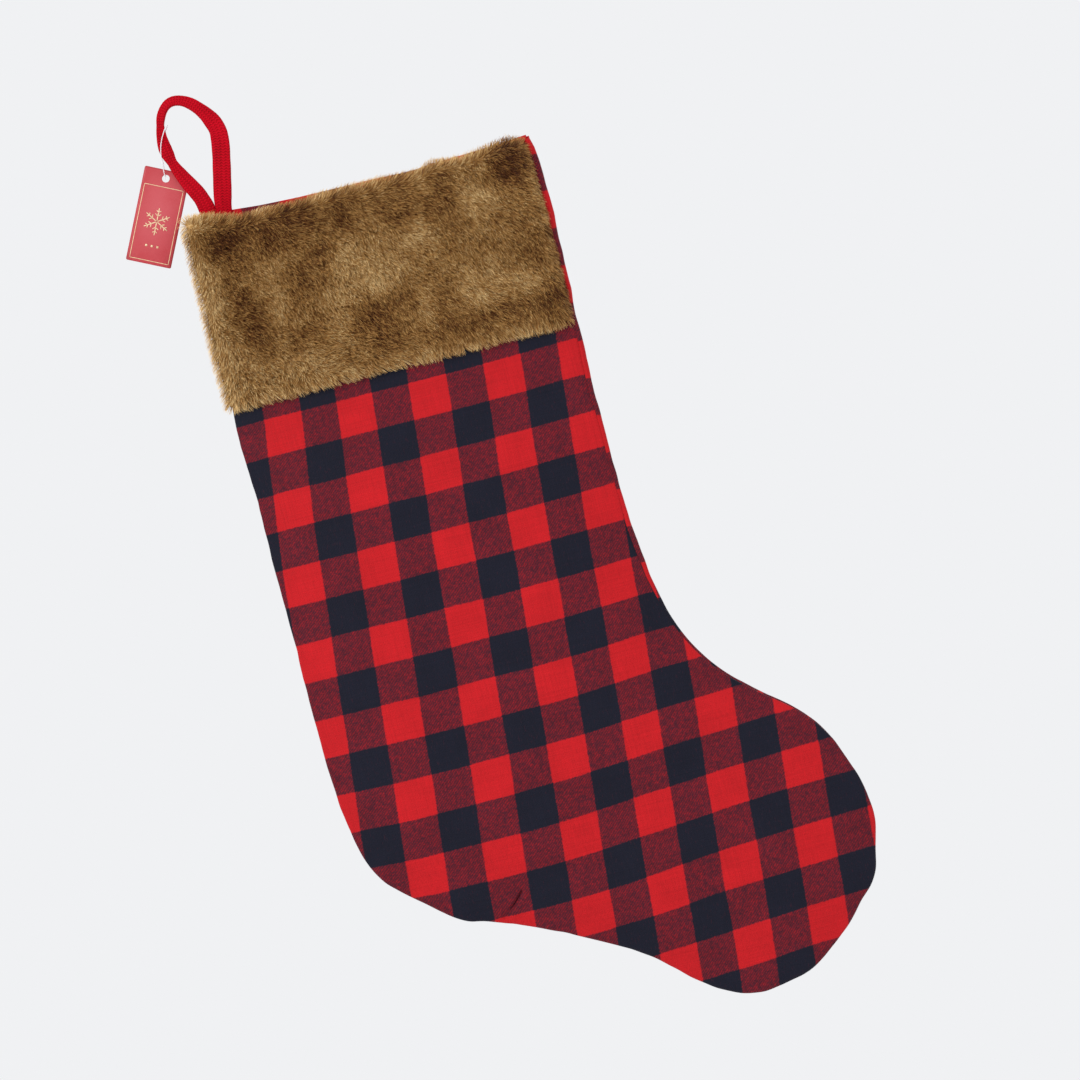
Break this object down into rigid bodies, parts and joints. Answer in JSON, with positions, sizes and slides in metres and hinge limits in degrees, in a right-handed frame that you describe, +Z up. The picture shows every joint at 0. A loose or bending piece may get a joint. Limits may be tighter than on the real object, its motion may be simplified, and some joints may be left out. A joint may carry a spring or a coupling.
{
  "type": "hanging stocking",
  "caption": "Checked flannel Christmas stocking with a faux-fur cuff across the front, a red knitted hanging loop at its top corner and a card tag on a nylon pin.",
  "frame": {"origin": "top of the hanging loop's inside, where it sits on a hook, in the middle of the tape's thickness", "axes": "+Z up along the leg, +X towards the toe, the front with the fur cuff faces -Y"},
  "size_m": [0.3063, 0.0217, 0.5316],
  "materials": {
    "flannel": "brushed twill, red and navy buffalo check, 20 mm squares",
    "fur": "brown plush pile, brushed unevenly",
    "thread": "dark red sewing thread",
    "tape": "red knitted tape",
    "nylon": "clear nylon",
    "card": "red printed card with a plain gold ornament"
  },
  "bodies": {
    "loop": {"hanging_loop": "tape"},
    "stocking": {"front_panel": "flannel", "back_panel": "flannel", "fur_cuff": "fur", "side_seam_thread": "thread", "cuff_seam_thread": "thread", "hem_thread": "thread", "loop_tails": "tape", "loop_tack": "thread"},
    "pin": {"tag_pin": "nylon", "pin_lock": "nylon"},
    "tag": {"hang_tag": "card"}
  },
  "joints": [
    {"name": "stocking_swing", "type": "hinge", "parent": "loop", "child": "stocking", "pos_m": [0.0068, 0, -0.0592], "axis": [1, 0, 0], "range_deg": [-60, 60]},
    {"name": "pin_swing", "type": "hinge", "parent": "loop", "child": "pin", "pos_m": [-0.0043, 0.00035, -0.0082], "axis": [0, 1, 0], "range_deg": [0, 55]},
    {"name": "tag_swing", "type": "hinge", "parent": "pin", "child": "tag", "pos_m": [-0.014, 0.0017, -0.0345], "axis": [0, 1, 0], "range_deg": [-2, 60]}
  ]
}
